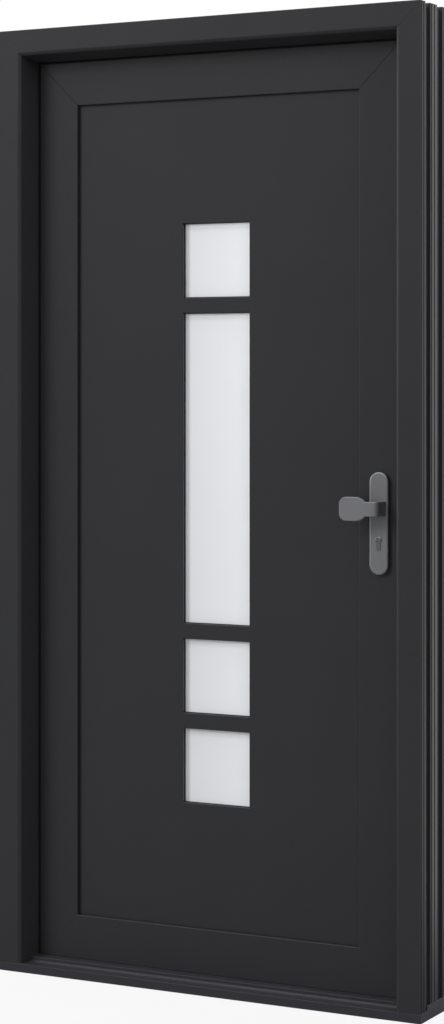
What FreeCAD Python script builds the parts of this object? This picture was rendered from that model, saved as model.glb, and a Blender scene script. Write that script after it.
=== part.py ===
import FreeCAD, Part
import math
import os
import sys

import Sketcher

# Front door set of mitred PVC profiles on a low aluminium threshold, one leaf that opens inwards.
# X runs to the right as seen from outside, Y inwards through the wall, Z up.
# The origin is the middle of the underside of the threshold, halfway through the frame's depth.
# Sections are drawn by two measures: the reach in from an outer edge, and the depth behind the front face.

SIZES = (
    # The outer frame
    ("frame_width", 1070), ("frame_height", 2190), ("frame_depth", 130),
    ("frame_face", 53), ("face_bevel_run", 6), ("face_bevel_depth", 5),
    ("stop_reach", 71), ("stop_depth", 61.5), ("rebate_floor", 50), ("frame_edge_round", 1.5),
    ("keep_groove_back", 38), ("keep_groove_wide", 20), ("keep_groove_deep", 5),
    # Grooves along the outer side of the frame: where each starts, its width and its depth.
    # The first two start from the front, the last four from the back, and the wide one lies between them.
    ("groove_a_at", 3), ("groove_a_wide", 6), ("groove_a_deep", 4),
    ("groove_b_at", 14), ("groove_b_wide", 6), ("groove_b_deep", 4),
    ("groove_c_at", 26), ("groove_c_end_back", 77), ("groove_c_deep", 7.5),
    ("groove_d_back", 73), ("groove_d_wide", 5), ("groove_d_deep", 4),
    ("groove_e_back", 57), ("groove_e_wide", 4.5), ("groove_e_deep", 3.5),
    ("groove_f_back", 40), ("groove_f_wide", 29), ("groove_f_deep", 7.5),
    ("groove_g_back", 6), ("groove_g_wide", 4), ("groove_g_deep", 3), ("groove_slope", 0.8),
    # The threshold
    ("threshold_front", 20), ("threshold_top", 31.5), ("threshold_step_at", 35.5), ("threshold_edge", 1),
    # The leaf
    ("leaf_set_back", 65), ("leaf_edge", 62.5), ("leaf_floor_gap", 5), ("member_width", 112.5),
    ("bottom_rail_face", 96.5), ("lip_thick", 6), ("lip_bevel", 1.5), ("panel_seat", 92),
    ("flange_overlap", 20), ("flange_thick", 15), ("seal_gap", 3), ("leaf_edge_round", 1),
    ("lock_groove_back", 37), ("lock_groove_wide", 16), ("lock_groove_deep", 3),
    # The infill panel, its panes and what holds them
    ("panel_thick", 44), ("panel_play", 2), ("gasket_thick", 3), ("gasket_inset", 1),
    ("pane_square", 169.5), ("pane_tall", 706), ("pane_gap", 34.5), ("pane_cover", 10), ("pane_play", 1),
    ("panel_lip", 9), ("opening_bevel", 1.5), ("glass_thick", 4), ("glass_space", 20),
    ("trim_cover", 7), ("trim_thick", 3), ("trim_bevel", 1.5),
    ("bead_width", 20), ("bead_upright", 6), ("bead_slope", 8),
    # Seals
    ("rest_gap", 0.3), ("stop_gasket_root", 64), ("stop_gasket_tip", 75), ("flange_gasket_inset", 2),
    ("flange_gasket_wide", 5), ("sweep_back", 52), ("sweep_wide", 10),
    # Handles and cylinder
    ("handle_in", 124), ("handle_height", 1096.5), ("plate_below", 144.5), ("plate_length", 224),
    ("plate_width", 44), ("plate_thick", 10), ("plate_bevel", 2.5),
    ("cylinder_below", 67.5), ("cylinder_radius", 8.5), ("cylinder_lobe", 5), ("cylinder_drop", 19.5),
    ("cylinder_proud", 2), ("cylinder_play", 0.3),
    ("keyway_wide", 2.2), ("keyway_high", 9), ("keyway_deep", 3),
    ("strap_high", 31), ("strap_thick", 8.5), ("strap_inner_bend", 4), ("strap_root", 17.5),
    ("pull_reach", 40), ("strap_bevel", 1.5),
    ("pad_start", 11.5), ("pad_length", 64), ("pad_high", 52.5), ("pad_corner", 17), ("pad_neck", 5),
    ("lever_high", 20), ("lever_thick", 11), ("lever_length", 125), ("lever_reach", 50),
    ("lever_inner_bend", 5), ("lever_bevel", 3), ("collar_radius", 13), ("collar_thick", 7),
    # Lock strip, bolts and keeps
    ("strip_thick", 2.5), ("strip_low_end", 143.5), ("strip_top_end", 147.5), ("latch_out", 2.5),
    ("latch_high", 34), ("latch_thick", 12), ("latch_nose", 8), ("bolt_high", 30),
    ("strike_high", 170), ("keep_high", 110), ("keep_low_end", 383.5), ("keep_top_end", 347.5),
    ("keep_hole_high", 60), ("keep_hole_wide", 12),
    # Holes for the screws that fix each jamb to the wall
    ("fixing_radius", 5.2), ("fixing_low_up", 200), ("fixing_top_down", 250),
    # Hinges
    ("hinge_axis_in", 40), ("hinge_axis_out", 13), ("hinge_radius", 10), ("hinge_high", 96),
    ("hinge_leaf_high", 32), ("hinge_play", 0.4), ("pin_radius", 4), ("pin_play", 0.05),
    ("pin_head", 6.5), ("pin_head_thick", 4), ("hinge_corner", 6),
    ("hinge_plate_thick", 5), ("hinge_plate_edge", 5), ("hinge_arm_wide", 10), ("hinge_arm_clear", 5.5),
    ("leaf_plate_clear", 12), ("leaf_plate_wide", 44), ("hinge_top_down", 245), ("hinge_low_up", 270),
)

document = FreeCAD.newDocument("front_door")
sheet = document.addObject("Spreadsheet::Sheet", "Sizes")
for row, (alias, value) in enumerate(SIZES, start=1):
    sheet.set(f"A{row}", alias)
    sheet.set(f"B{row}", str(value))
    sheet.setAlias(f"B{row}", alias)
document.recompute()

pieces = []

# Derived measures, as formulas
HALF_WIDTH = "(Sizes.frame_width / 2)"
LEAF_BACK = "(Sizes.frame_depth + Sizes.seal_gap + Sizes.flange_thick)"
LEAF_BOTTOM = "(Sizes.threshold_top + Sizes.leaf_floor_gap)"
LEAF_TOP = "(Sizes.frame_height - Sizes.leaf_edge)"
KEEP_GROOVE = "(Sizes.frame_depth - Sizes.keep_groove_back)"
KEEP_MIDDLE = f"({KEEP_GROOVE} + Sizes.keep_groove_wide / 2)"
LOCK_GROOVE = "(Sizes.frame_depth + Sizes.seal_gap - Sizes.lock_groove_back)"
SWEEP_FRONT = f"({LEAF_BACK} - Sizes.sweep_back)"
PANEL_LOW = f"({LEAF_BOTTOM} + Sizes.bottom_rail_face)"
PANEL_FACE = "(Sizes.leaf_set_back + Sizes.lip_thick + Sizes.gasket_thick)"
PANEL_BACK = f"({PANEL_FACE} + Sizes.panel_thick)"
GLASS_FACE = f"({PANEL_FACE} + Sizes.panel_lip)"
GLASS_BACK = f"({GLASS_FACE} + 2 * Sizes.glass_thick + Sizes.glass_space)"
HANDLE_X = f"({HALF_WIDTH} - Sizes.handle_in)"
CYLINDER_Z = "(Sizes.handle_height - Sizes.cylinder_below)"
PLATE_FACE = "(Sizes.leaf_set_back - Sizes.plate_thick)"
INSIDE_PLATE_FACE = f"({LEAF_BACK} + Sizes.plate_thick)"
HINGE_X = f"(Sizes.hinge_axis_in - {HALF_WIDTH})"
HINGE_Y = f"({LEAF_BACK} + Sizes.hinge_axis_out)"

# The three rings of mitred bars: half width, low edge and high edge, from which sections reach inwards
FRAME_RING = (HALF_WIDTH, "0", "Sizes.frame_height")
LEAF_RING = (
    f"({HALF_WIDTH} - Sizes.leaf_edge)",
    f"({PANEL_LOW} - Sizes.member_width)",
    LEAF_TOP,
)
SEAT_RING = (
    f"({LEAF_RING[0]} - Sizes.panel_seat)",
    f"({LEAF_RING[1]} + Sizes.panel_seat)",
    f"({LEAF_RING[2]} - Sizes.panel_seat)",
)


def new_body(label, many=False):
    """A body named for its piece. Its own Y starts at the front face of the frame."""
    body = document.addObject("PartDesign::Body", label)
    body.Label = label
    body.AllowCompound = many
    body.setExpression("Placement.Base.y", "-Sizes.frame_depth / 2")
    pieces.append(body)
    return body


def new_sketch(body, role, offset="0"):
    """A sketch on one of the body's own planes, moved along the plane's normal by a formula."""
    sketch = body.newObject("Sketcher::SketchObject", body.Label + "_sketch")
    plane = [item for item in body.Origin.OriginFeatures if item.Role == role][0]
    sketch.AttachmentSupport = (plane, [""])
    sketch.MapMode = "FlatFace"
    sketch.setExpression("AttachmentOffset.Base.z", offset)
    return sketch


def bind(sketch, kind, first, first_point, formula):
    """One driving dimension of a sketch, from its origin or on a curve, bound to a formula."""
    if kind == "Radius":
        index = sketch.addConstraint(Sketcher.Constraint(kind, first, 1.0))
    else:
        index = sketch.addConstraint(Sketcher.Constraint(kind, -1, 1, first, first_point, 1.0))
    sketch.setExpression(f"Constraints[{index}]", formula)


def draw_outline(sketch, corners):
    """A closed outline of straight lines. Each corner is a pair of formulas."""
    count = len(corners)
    base = sketch.GeometryCount
    start = [
        FreeCAD.Vector(math.cos(2 * math.pi * n / count), math.sin(2 * math.pi * n / count), 0)
        for n in range(count)
    ]
    lines = [Part.LineSegment(start[n], start[(n + 1) % count]) for n in range(count)]
    sketch.addGeometry(lines, False)
    ties = []
    for n in range(count):
        ties.append(Sketcher.Constraint("Coincident", base + n, 2, base + (n + 1) % count, 1))
    for n in range(count):
        ties.append(Sketcher.Constraint("DistanceX", -1, 1, base + n, 1, start[n].x))
        ties.append(Sketcher.Constraint("DistanceY", -1, 1, base + n, 1, start[n].y))
    first = sketch.ConstraintCount + count
    sketch.addConstraint(ties)
    for n, (across, up) in enumerate(corners):
        sketch.setExpression(f"Constraints[{first + 2 * n}]", across)
        sketch.setExpression(f"Constraints[{first + 2 * n + 1}]", up)


def draw_box(sketch, left, low, right, high):
    """A closed upright rectangle between four formulas."""
    draw_outline(sketch, [(left, low), (right, low), (right, high), (left, high)])


def draw_circle(sketch, across, up, radius):
    """A circle whose centre and radius are formulas."""
    index = sketch.GeometryCount
    sketch.addGeometry([Part.Circle(FreeCAD.Vector(0, 0, 0), FreeCAD.Vector(0, 0, 1), 1.0)], False)
    bind(sketch, "DistanceX", index, 3, across)
    bind(sketch, "DistanceY", index, 3, up)
    bind(sketch, "Radius", index, None, radius)


def draw_upright_slot(sketch, across, low, high, radius):
    """A slot with round ends, standing upright: low and high are the centres of its ends."""
    base = sketch.GeometryCount
    axis = FreeCAD.Vector(0, 0, 1)
    top = Part.Circle(FreeCAD.Vector(0, 1, 0), axis, 1.0)
    bottom = Part.Circle(FreeCAD.Vector(0, -1, 0), axis, 1.0)
    sketch.addGeometry([
        Part.ArcOfCircle(top, 0, math.pi),
        Part.LineSegment(FreeCAD.Vector(-1, 1, 0), FreeCAD.Vector(-1, -1, 0)),
        Part.ArcOfCircle(bottom, math.pi, 2 * math.pi),
        Part.LineSegment(FreeCAD.Vector(1, -1, 0), FreeCAD.Vector(1, 1, 0)),
    ], False)
    for side in range(4):
        sketch.addConstraint(Sketcher.Constraint("Coincident", base + side, 2, base + (side + 1) % 4, 1))
    for arc, level in ((base, high), (base + 2, low)):
        bind(sketch, "DistanceX", arc, 3, across)
        bind(sketch, "Radius", arc, None, radius)
        for point in (1, 2, 3):
            bind(sketch, "DistanceY", arc, point, level)


def add_pad(body, sketch, length, side="One side", turned=False):
    """Extrudes a sketch by a formula."""
    pad = body.newObject("PartDesign::Pad", body.Label + "_pad")
    pad.Profile = sketch
    pad.SideType = side
    pad.Reversed = turned
    pad.setExpression("Length", length)
    sketch.Visibility = False
    body.Tip = pad
    return pad


def cut_through(body, sketch):
    """Cuts a sketch's outline right through the body, both ways."""
    pocket = body.newObject("PartDesign::Pocket", body.Label + "_cut")
    pocket.Profile = sketch
    pocket.SideType = "Symmetric"
    pocket.Type = "ThroughAll"
    body.Tip = pocket
    return pocket


def cut_depth(body, sketch, depth, turned):
    """Cuts a sketch's outline to a depth, along or against its plane's normal."""
    pocket = body.newObject("PartDesign::Pocket", body.Label + "_recess")
    pocket.Profile = sketch
    pocket.Reversed = turned
    pocket.setExpression("Length", depth)
    body.Tip = pocket
    return pocket


def dress(body, kind, measure, formula, wanted):
    """Dresses the edges of the body's last feature whose two ends pass a test."""
    document.recompute()
    base = body.Tip
    names = []
    for number, edge in enumerate(base.Shape.Edges, start=1):
        ends = [vertex.Point for vertex in edge.Vertexes]
        if len(ends) == 2 and wanted(ends[0], ends[1]):
            names.append(f"Edge{number}")
    feature = body.newObject(f"PartDesign::{kind}", f"{body.Label}_{kind}")
    feature.Base = (base, names)
    feature.setExpression(measure, formula)
    body.Tip = feature


def soften(body, radius, wanted):
    """Rounds the edges that pass a test."""
    dress(body, "Fillet", "Radius", radius, wanted)


def bevel(body, width, wanted):
    """Bevels the edges that pass a test."""
    dress(body, "Chamfer", "Size", width, wanted)


def extent(body):
    """The bounds of a body's last feature, in its own axes."""
    document.recompute()
    return body.Tip.Shape.BoundBox


def size(alias):
    """A driving size as a number, for tests on finished edges."""
    return float(getattr(sheet, alias))


def near(first, second):
    """Whether two measures agree to a hundredth of a millimetre."""
    return abs(first - second) < 0.01


def upright(one, two):
    """Whether an edge stands upright."""
    return near(one.x, two.x) and near(one.y, two.y)


def inward(one, two):
    """Whether an edge runs straight inwards through the door."""
    return near(one.x, two.x) and near(one.z, two.z)


def reach_to_x(side, ring, reach):
    """The X of a point at a reach in from the left or right edge of a ring."""
    edge = f"({ring[0]} - ({reach}))"
    return f"-{edge}" if side == "left" else edge


def mitre_cut(body, side, ring, end):
    """Cuts one end of a bar along the ring's 45 degree corner line."""
    far = "(Sizes.member_width + Sizes.member_width)"
    sketch = new_sketch(body, "XZ_Plane")
    ends = ("left", "right") if side in ("top", "bottom") else (end,)
    for here in ends:
        upper = side == "top" or here == "top"
        flank = here if side in ("top", "bottom") else side
        outer_z = f"{ring[2]} + {far}" if upper else f"{ring[1]} - {far}"
        inner_z = f"{ring[2]} - {far}" if upper else f"{ring[1]} + {far}"
        outer_x = reach_to_x(flank, ring, f"-{far}")
        inner_x = reach_to_x(flank, ring, far)
        third = (outer_x, inner_z) if side in ("top", "bottom") else (inner_x, outer_z)
        draw_outline(sketch, [(outer_x, outer_z), (inner_x, inner_z), third])
    cut_through(body, sketch)


def mitred_bar(label, side, ring, section, overhang, foot=None):
    """A bar of a ring: its section is extruded along the side and mitred at its ends."""
    body = new_body(label)
    if side in ("left", "right"):
        low = foot if foot else f"{ring[1]} - ({overhang})"
        sketch = new_sketch(body, "XY_Plane", low)
        draw_outline(sketch, [(reach_to_x(side, ring, reach), depth) for reach, depth in section])
        add_pad(body, sketch, f"{ring[2]} + {overhang} - ({low})")
        mitre_cut(body, side, ring, "top")
    else:
        sketch = new_sketch(body, "YZ_Plane")
        sign, edge = ("-", ring[2]) if side == "top" else ("+", ring[1])
        draw_outline(sketch, [(depth, f"{edge} {sign} ({reach})") for reach, depth in section])
        add_pad(body, sketch, f"2 * ({ring[0]} + {overhang})", "Symmetric")
        mitre_cut(body, side, ring, None)
    return body


def frame_section():
    """The frame profile: front face, sloping reveal, stop, rebate, back, and the ribbed outer side."""
    groove_foot = "Sizes.rebate_floor - Sizes.keep_groove_deep"
    groove_end = f"{KEEP_GROOVE} + Sizes.keep_groove_wide"
    corners = [
        ("0", "Sizes.frame_edge_round"),
        ("Sizes.frame_edge_round", "0"),
        ("Sizes.frame_face", "0"),
        ("Sizes.frame_face + Sizes.face_bevel_run", "Sizes.face_bevel_depth"),
        ("Sizes.stop_reach", "Sizes.stop_depth"),
        ("Sizes.rebate_floor", "Sizes.stop_depth"),
        ("Sizes.rebate_floor", KEEP_GROOVE),
        (groove_foot, KEEP_GROOVE),
        (groove_foot, groove_end),
        ("Sizes.rebate_floor", groove_end),
        ("Sizes.rebate_floor", "Sizes.frame_depth"),
        ("0", "Sizes.frame_depth"),
    ]
    for letter in "gfedcba":
        start = f"Sizes.groove_{letter}_at"
        if letter in "gfed":
            start = f"Sizes.frame_depth - Sizes.groove_{letter}_back"
        finish = f"{start} + Sizes.groove_{letter}_wide"
        if letter == "c":
            finish = "Sizes.frame_depth - Sizes.groove_c_end_back"
        deep = f"Sizes.groove_{letter}_deep"
        corners += [
            ("0", finish),
            (deep, f"{finish} - Sizes.groove_slope"),
            (deep, f"{start} + Sizes.groove_slope"),
            ("0", start),
        ]
    return corners


def fixing_levels():
    """Heights of the four evenly spaced holes for the wall screws in each jamb."""
    pitch = "(Sizes.frame_height - Sizes.fixing_low_up - Sizes.fixing_top_down) / 3"
    return [f"Sizes.fixing_low_up + {step} * {pitch}" for step in range(4)]


def make_frame():
    """The head and the two jambs, whose feet are cut to the steps of the threshold."""
    mitred_bar("frame_head", "top", FRAME_RING, frame_section(), "0")
    for side in ("left", "right"):
        jamb = mitred_bar(f"frame_jamb_{side}", side, FRAME_RING, frame_section(), "0")
        notch = new_sketch(jamb, "YZ_Plane")
        beyond = "Sizes.frame_depth + Sizes.member_width"
        draw_outline(notch, [
            ("-Sizes.member_width", "-Sizes.member_width"),
            (beyond, "-Sizes.member_width"),
            (beyond, "Sizes.threshold_top"),
            ("Sizes.threshold_step_at", "Sizes.threshold_top"),
            ("Sizes.threshold_step_at", "Sizes.threshold_front"),
            ("-Sizes.member_width", "Sizes.threshold_front"),
        ])
        cut_through(jamb, notch)
        holes = new_sketch(jamb, "YZ_Plane")
        for level in fixing_levels():
            draw_circle(holes, KEEP_MIDDLE, level, "Sizes.fixing_radius")
        cut_through(jamb, holes)


def make_threshold():
    """The threshold: one extruded section with a low front step and a raised back."""
    body = new_body("threshold")
    sketch = new_sketch(body, "YZ_Plane")
    edge = "Sizes.threshold_edge"
    draw_outline(sketch, [
        ("0", "0"),
        ("Sizes.frame_depth", "0"),
        ("Sizes.frame_depth", "Sizes.threshold_top"),
        (f"Sizes.threshold_step_at + {edge}", "Sizes.threshold_top"),
        ("Sizes.threshold_step_at", f"Sizes.threshold_top - {edge}"),
        ("Sizes.threshold_step_at", "Sizes.threshold_front"),
        (edge, "Sizes.threshold_front"),
        ("0", f"Sizes.threshold_front - {edge}"),
    ])
    add_pad(body, sketch, "Sizes.frame_width", "Symmetric")


def draw_arch(sketch, ring, outer, inner, foot):
    """An arch of three straight legs between two reaches of a ring, standing on a foot level."""
    left_out = reach_to_x("left", ring, outer)
    right_out = reach_to_x("right", ring, outer)
    left_in = reach_to_x("left", ring, inner)
    right_in = reach_to_x("right", ring, inner)
    high_out = f"{ring[2]} - ({outer})"
    high_in = f"{ring[2]} - ({inner})"
    draw_outline(sketch, [
        (left_out, foot), (left_out, high_out), (right_out, high_out), (right_out, foot),
        (right_in, foot), (right_in, high_in), (left_in, high_in), (left_in, foot),
    ])


def draw_ring(sketch, ring, outer, inner):
    """A flat ring between two reaches of a ring of bars."""
    for reach in (outer, inner):
        draw_box(
            sketch,
            reach_to_x("left", ring, reach), f"{ring[1]} + ({reach})",
            reach_to_x("right", ring, reach), f"{ring[2]} - ({reach})",
        )


def make_seals():
    """The black seals: stop, flange, both sides of the panel, and the sweep under the leaf."""
    body = new_body("frame_gasket")
    sketch = new_sketch(body, "XZ_Plane", "-Sizes.stop_depth")
    draw_arch(sketch, FRAME_RING, "Sizes.stop_gasket_root", "Sizes.stop_gasket_tip", "Sizes.threshold_top")
    add_pad(body, sketch, "Sizes.leaf_set_back - Sizes.stop_depth - Sizes.rest_gap", turned=True)

    body = new_body("leaf_gasket")
    sketch = new_sketch(body, "XZ_Plane", "-(Sizes.frame_depth + Sizes.rest_gap)")
    outer = "Sizes.flange_gasket_inset - Sizes.flange_overlap"
    draw_arch(sketch, LEAF_RING, outer, f"{outer} + Sizes.flange_gasket_wide", LEAF_BOTTOM)
    add_pad(body, sketch, "Sizes.seal_gap - Sizes.rest_gap", turned=True)

    for label, depth in (("panel_gasket_outside", "Sizes.leaf_set_back + Sizes.lip_thick"),
                         ("panel_gasket_inside", PANEL_BACK)):
        body = new_body(label)
        sketch = new_sketch(body, "XZ_Plane", f"-({depth})")
        inner = "Sizes.member_width - Sizes.gasket_inset - Sizes.panel_seat"
        draw_ring(sketch, SEAT_RING, "Sizes.panel_play", inner)
        add_pad(body, sketch, "Sizes.gasket_thick", turned=True)

    body = new_body("bottom_sweep")
    sketch = new_sketch(body, "YZ_Plane")
    draw_box(sketch, SWEEP_FRONT, "Sizes.threshold_top + Sizes.rest_gap",
             f"{SWEEP_FRONT} + Sizes.sweep_wide", LEAF_BOTTOM)
    add_pad(body, sketch, f"2 * {LEAF_RING[0]}", "Symmetric")


def leaf_section():
    """The leaf profile: outer lip, panel seat, back, the flange that laps the frame, and the lock groove."""
    flange_front = "Sizes.frame_depth + Sizes.seal_gap"
    groove_end = f"{LOCK_GROOVE} + Sizes.lock_groove_wide"
    return [
        ("0", "Sizes.leaf_set_back + Sizes.leaf_edge_round"),
        ("Sizes.leaf_edge_round", "Sizes.leaf_set_back"),
        ("Sizes.member_width - Sizes.lip_bevel", "Sizes.leaf_set_back"),
        ("Sizes.member_width", "Sizes.leaf_set_back + Sizes.lip_bevel"),
        ("Sizes.member_width", "Sizes.leaf_set_back + Sizes.lip_thick"),
        ("Sizes.panel_seat", "Sizes.leaf_set_back + Sizes.lip_thick"),
        ("Sizes.panel_seat", LEAF_BACK),
        ("Sizes.leaf_edge_round - Sizes.flange_overlap", LEAF_BACK),
        ("-Sizes.flange_overlap", f"{LEAF_BACK} - Sizes.leaf_edge_round"),
        ("-Sizes.flange_overlap", flange_front),
        ("0", flange_front),
        ("0", groove_end),
        ("Sizes.lock_groove_deep", groove_end),
        ("Sizes.lock_groove_deep", LOCK_GROOVE),
        ("0", LOCK_GROOVE),
    ]


def bottom_rail_section():
    """The leaf profile without its flange, trimmed to clear the threshold."""
    trim = "(Sizes.member_width - Sizes.bottom_rail_face)"
    return [
        (trim, "Sizes.leaf_set_back"),
        ("Sizes.member_width - Sizes.lip_bevel", "Sizes.leaf_set_back"),
        ("Sizes.member_width", "Sizes.leaf_set_back + Sizes.lip_bevel"),
        ("Sizes.member_width", "Sizes.leaf_set_back + Sizes.lip_thick"),
        ("Sizes.panel_seat", "Sizes.leaf_set_back + Sizes.lip_thick"),
        ("Sizes.panel_seat", LEAF_BACK),
        (trim, LEAF_BACK),
    ]


def cut_cylinder_hole(body):
    """Cuts the round hole and the slot below it for the profile cylinder."""
    sketch = new_sketch(body, "XZ_Plane")
    draw_circle(sketch, HANDLE_X, CYLINDER_Z, "Sizes.cylinder_radius + Sizes.cylinder_play")
    cut_through(body, sketch)
    sketch = new_sketch(body, "XZ_Plane")
    draw_upright_slot(sketch, HANDLE_X, f"{CYLINDER_Z} - Sizes.cylinder_drop", CYLINDER_Z,
                      "Sizes.cylinder_lobe + Sizes.cylinder_play")
    cut_through(body, sketch)


def make_leaf():
    """The four welded members of the leaf."""
    mitred_bar("leaf_top_rail", "top", LEAF_RING, leaf_section(), "Sizes.flange_overlap")
    mitred_bar("leaf_bottom_rail", "bottom", LEAF_RING, bottom_rail_section(), "0")
    for label, side in (("leaf_hinge_stile", "left"), ("leaf_lock_stile", "right")):
        stile = mitred_bar(label, side, LEAF_RING, leaf_section(), "Sizes.flange_overlap", LEAF_BOTTOM)
        mitre_cut(stile, side, LEAF_RING, "bottom")
        if side == "right":
            cut_cylinder_hole(stile)


def window_rows():
    """Low and high edge of each pane from the bottom up, with a name for each."""
    group = "(3 * Sizes.pane_square + Sizes.pane_tall + 3 * Sizes.pane_gap)"
    centre = f"(({PANEL_LOW} + {LEAF_RING[2]} - Sizes.member_width) / 2)"
    low = f"({centre} - {group} / 2)"
    rows = []
    for name, high in (("bottom", "Sizes.pane_square"), ("middle", "Sizes.pane_square"),
                       ("tall", "Sizes.pane_tall"), ("top", "Sizes.pane_square")):
        rows.append((name, low, f"({low} + {high})"))
        low = f"({low} + {high} + Sizes.pane_gap)"
    return rows


def draw_window(sketch, low, high, grow):
    """The outline of one window, larger than its opening by a margin all round."""
    half = f"(Sizes.pane_square / 2 + ({grow}))"
    draw_box(sketch, f"-{half}", f"{low} - ({grow})", half, f"{high} + ({grow})")


def make_panel():
    """The flush infill panel with four openings, recessed at the back for the glass units."""
    body = new_body("infill_panel")
    sketch = new_sketch(body, "XZ_Plane", f"-{PANEL_FACE}")
    play = "Sizes.panel_play"
    draw_box(sketch, reach_to_x("left", SEAT_RING, play), f"{SEAT_RING[1]} + {play}",
             reach_to_x("right", SEAT_RING, play), f"{SEAT_RING[2]} - {play}")
    for name, low, high in window_rows():
        draw_window(sketch, low, high, "0")
    add_pad(body, sketch, "Sizes.panel_thick", turned=True)
    recess = new_sketch(body, "XZ_Plane", f"-{PANEL_BACK}")
    for name, low, high in window_rows():
        draw_window(recess, low, high, "Sizes.pane_cover")
    cut_depth(body, recess, "Sizes.panel_thick - Sizes.panel_lip", True)
    face = extent(body).YMin
    bevel(body, "Sizes.opening_bevel", lambda one, two: (
        near(one.y, face) and near(two.y, face) and abs(one.x) < size("pane_square")))


def make_glazing():
    """Double glass units: frosted outer panes, spacer bars, inner panes, and trims on the inside."""
    glass = "Sizes.pane_cover - Sizes.pane_play"
    for name, low, high in window_rows():
        body = new_body(f"pane_{name}")
        sketch = new_sketch(body, "XZ_Plane", f"-{GLASS_FACE}")
        draw_window(sketch, low, high, glass)
        add_pad(body, sketch, "Sizes.glass_thick", turned=True)

        body = new_body(f"window_trim_{name}")
        sketch = new_sketch(body, "XZ_Plane", f"-{GLASS_BACK}")
        draw_window(sketch, low, high, glass)
        draw_window(sketch, low, high, "0")
        add_pad(body, sketch, f"{PANEL_BACK} - {GLASS_BACK}", turned=True)
        sketch = new_sketch(body, "XZ_Plane", f"-{PANEL_BACK}")
        draw_window(sketch, low, high, "Sizes.pane_cover + Sizes.trim_cover")
        draw_window(sketch, low, high, "0")
        add_pad(body, sketch, "Sizes.trim_thick", turned=True)
        face = extent(body).YMax
        bevel(body, "Sizes.trim_bevel", lambda one, two: near(one.y, face) and near(two.y, face))

    spacers = new_body("glass_spacers", many=True)
    sketch = new_sketch(spacers, "XZ_Plane", f"-({GLASS_FACE} + Sizes.glass_thick)")
    for name, low, high in window_rows():
        draw_window(sketch, low, high, glass)
        draw_window(sketch, low, high, "0")
    add_pad(spacers, sketch, "Sizes.glass_space", turned=True)

    inner = new_body("inner_panes", many=True)
    sketch = new_sketch(inner, "XZ_Plane", f"-({GLASS_BACK} - Sizes.glass_thick)")
    for name, low, high in window_rows():
        draw_window(sketch, low, high, glass)
    add_pad(inner, sketch, "Sizes.glass_thick", turned=True)


def make_beads():
    """The four mitred beads that hold the panel from the inside."""
    front = f"({PANEL_BACK} + Sizes.gasket_thick)"
    section = [
        ("0", front),
        ("Sizes.bead_width", front),
        ("Sizes.bead_width", f"{front} + Sizes.bead_upright"),
        ("Sizes.bead_width - Sizes.bead_slope", LEAF_BACK),
        ("0", LEAF_BACK),
    ]
    for side in ("top", "bottom", "left", "right"):
        bar = mitred_bar(f"bead_{side}", side, SEAT_RING, section, "0")
        if side in ("left", "right"):
            mitre_cut(bar, side, SEAT_RING, "bottom")


def make_backplate(label, plane_depth, inside):
    """A long handle plate with round ends, its show edge bevelled, pierced for the cylinder."""
    body = new_body(label)
    sketch = new_sketch(body, "XZ_Plane", f"-{plane_depth}")
    radius = "Sizes.plate_width / 2"
    low = "(Sizes.handle_height - Sizes.plate_below)"
    high = f"{low} + Sizes.plate_length"
    draw_upright_slot(sketch, HANDLE_X, f"{low} + {radius}", f"{high} - {radius}", radius)
    add_pad(body, sketch, "Sizes.plate_thick", turned=True)
    show = extent(body).YMax if inside else extent(body).YMin
    bevel(body, "Sizes.plate_bevel", lambda one, two: near(one.y, show) and near(two.y, show))
    cut_cylinder_hole(body)


def make_cylinder():
    """The profile cylinder: a round barrel over a narrow lobe, with a keyway at both ends."""
    body = new_body("lock_cylinder")
    front = f"({PLATE_FACE} - Sizes.cylinder_proud)"
    length = f"({INSIDE_PLATE_FACE} + Sizes.cylinder_proud - {front})"
    sketch = new_sketch(body, "XZ_Plane", f"-{front}")
    draw_circle(sketch, HANDLE_X, CYLINDER_Z, "Sizes.cylinder_radius")
    add_pad(body, sketch, length, turned=True)
    sketch = new_sketch(body, "XZ_Plane", f"-{front}")
    draw_upright_slot(sketch, HANDLE_X, f"{CYLINDER_Z} - Sizes.cylinder_drop", CYLINDER_Z,
                      "Sizes.cylinder_lobe")
    add_pad(body, sketch, length, turned=True)
    half_wide = "Sizes.keyway_wide / 2"
    half_high = "Sizes.keyway_high / 2"
    for face, turned in ((front, True), (f"({front} + {length})", False)):
        sketch = new_sketch(body, "XZ_Plane", f"-{face}")
        draw_box(sketch, f"{HANDLE_X} - {half_wide}", f"{CYLINDER_Z} - {half_high}",
                 f"{HANDLE_X} + {half_wide}", f"{CYLINDER_Z} + {half_high}")
        cut_depth(body, sketch, "Sizes.keyway_deep", not turned)


def make_strap(body, root, foot, end, kind, outward):
    """A flat strap of even thickness that rises from a plate and bends round to the left.

    Its sizes start with kind, and it rises outwards through the door or inwards.
    """
    rise, back = ("-", "+") if outward else ("+", "-")
    thick = f"Sizes.{kind}_thick"
    bend = f"Sizes.{kind}_inner_bend"
    tip = f"({foot} {rise} Sizes.{'pull' if outward else kind}_reach)"
    under = f"({tip} {back} {thick})"
    sketch = new_sketch(body, "XY_Plane", "Sizes.handle_height")
    draw_outline(sketch, [
        (root, foot), (root, tip), (end, tip),
        (end, under), (f"{root} - {thick}", under), (f"{root} - {thick}", foot),
    ])
    add_pad(body, sketch, f"Sizes.{kind}_high", "Symmetric")
    box = extent(body)
    step = size(f"{kind}_thick")
    outer_y, inner_y = (box.YMin, box.YMin + step) if outward else (box.YMax, box.YMax - step)
    soften(body, f"{bend} + {thick}", lambda one, two: (
        upright(one, two) and near(one.x, box.XMax) and near(one.y, outer_y)))
    soften(body, bend, lambda one, two: (
        upright(one, two) and near(one.x, box.XMax - step) and near(one.y, inner_y)))


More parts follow.
